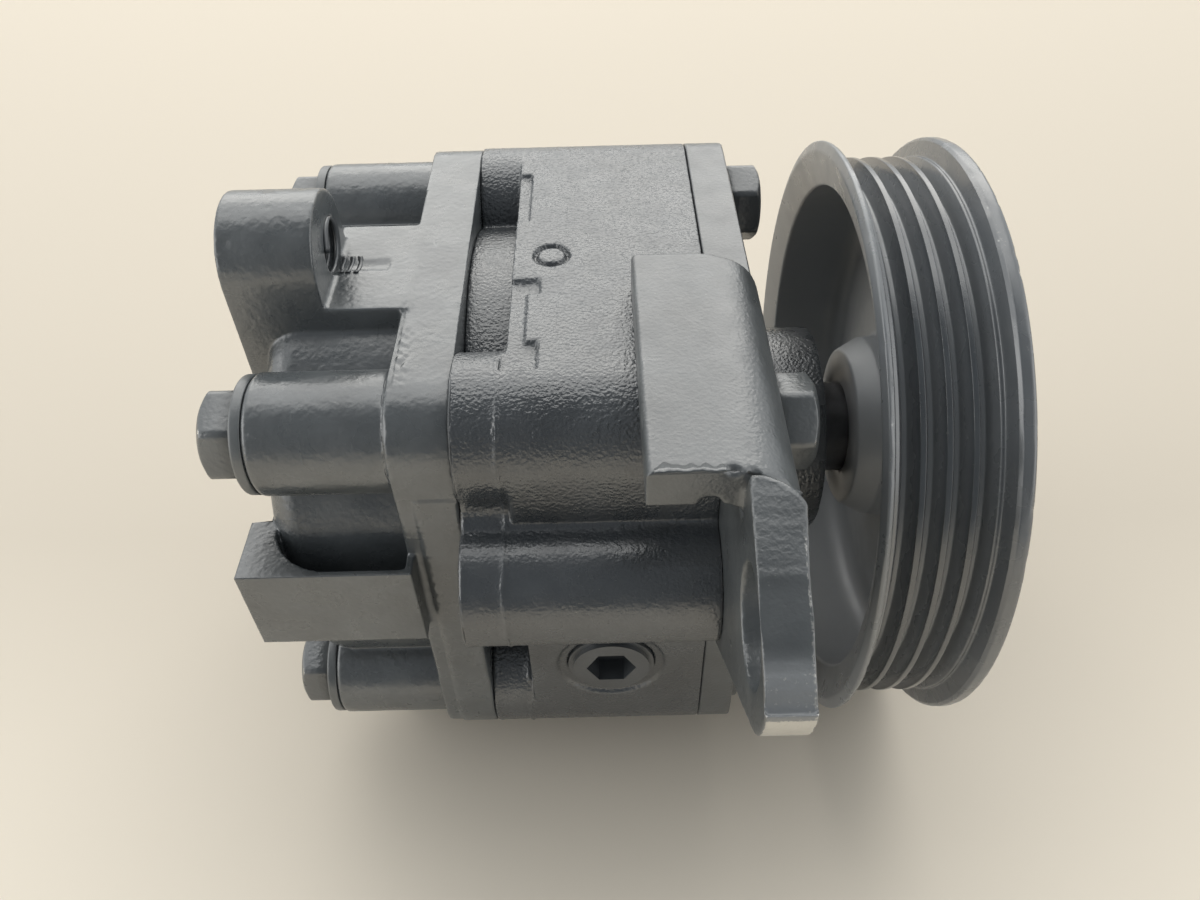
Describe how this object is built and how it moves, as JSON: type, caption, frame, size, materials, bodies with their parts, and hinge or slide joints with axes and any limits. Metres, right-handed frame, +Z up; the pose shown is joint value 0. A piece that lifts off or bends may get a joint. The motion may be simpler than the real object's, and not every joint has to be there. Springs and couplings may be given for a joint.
{
  "type": "power steering pump",
  "caption": "Vane-type hydraulic power steering pump with a ribbed belt pulley, a cast body, a bolted rear cover and a bent plate mounting bracket.",
  "frame": {"origin": "on the shaft axis, in the centre plane of the pulley's belt grooves", "axes": "+X along the shaft from the pump out through the pulley, +Z up through the flat upper face of the housing, +Y to the side away from the bracket's ear"},
  "size_m": [0.1186, 0.1256, 0.101],
  "materials": {
    "cast_black": "rough sand casting under satin black spray paint",
    "cover_black": "smooth die casting under satin black spray paint",
    "plate_black": "satin black paint over bent steel plate, worn bright along the cut edges",
    "bolt_black": "black painted steel fasteners with rubbed corners",
    "pulley_black": "black painted turned steel, grooves polished at their crests",
    "bare_steel": "ground bare steel, oiled",
    "bronze": "bronze bushing",
    "seal_rubber": "black nitrile rubber"
  },
  "bodies": {
    "housing": {"front_housing": "cast_black", "rear_cover": "cover_black", "cover_bolts": "bolt_black", "cover_washers": "bolt_black", "mounting_bracket": "plate_black", "bracket_bolts": "bolt_black", "bracket_washers": "bolt_black", "cam_ring": "bare_steel", "front_side_plate": "bare_steel", "rear_side_plate": "bare_steel", "dowel_pins": "bare_steel", "front_bushing": "bronze", "rear_bushing": "bronze", "oil_seal": "seal_rubber", "cover_o_ring": "seal_rubber", "side_plate_o_ring": "seal_rubber", "valve_plug": "bare_steel", "valve_plug_o_ring": "seal_rubber", "valve_spring": "bare_steel", "side_plug": "bolt_black"},
    "rotor_group": {"drive_shaft": "bare_steel", "rotor": "bare_steel", "vanes": "bare_steel", "rotor_snap_ring": "bare_steel", "pulley": "pulley_black", "pulley_key": "bare_steel", "pulley_lock_washer": "bolt_black", "pulley_nut": "bolt_black"},
    "spool": {"valve_spool": "bare_steel"}
  },
  "joints": [
    {"name": "shaft_spin", "type": "hinge", "parent": "housing", "child": "rotor_group", "pos_m": [0, 0, 0], "axis": [1, 0, 0], "continuous": true},
    {"name": "spool_slide", "type": "slide", "parent": "housing", "child": "spool", "axis": [1, 0, 0], "range_m": [0, 0.004], "stiffness_N_per_m": 500, "springref_m": -0.004, "deforming": ["valve_spring"]}
  ]
}
